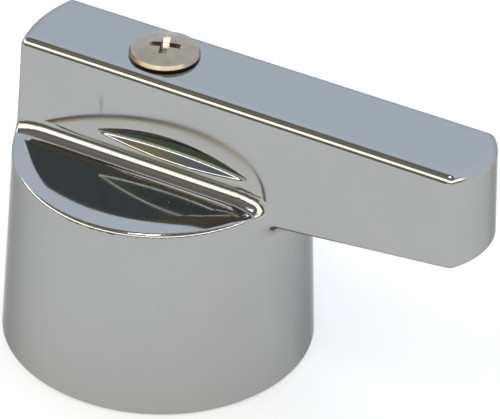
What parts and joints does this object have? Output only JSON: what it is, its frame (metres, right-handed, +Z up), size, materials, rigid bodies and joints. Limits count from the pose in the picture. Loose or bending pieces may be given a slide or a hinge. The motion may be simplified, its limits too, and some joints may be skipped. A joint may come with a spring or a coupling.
{
  "type": "tap handle",
  "caption": "Chrome-plated lever handle for a tap: a round hollow skirt under a flat bar that overhangs one side, held on a splined stem by a screw through its top.",
  "frame": {"origin": "centre of the skirt's open mouth, on the stem axis, in the plane of its bottom rim", "axes": "+Z up the stem axis towards the screw head, +X along the lever towards its tip, +Y to the left of it"},
  "size_m": [0.0693, 0.043, 0.0445],
  "materials": {
    "chrome_plate": "polished",
    "screw_steel": "satin"
  },
  "bodies": {
    "root": {"handle_body": "chrome_plate", "handle_screw": "screw_steel"}
  },
  "joints": []
}
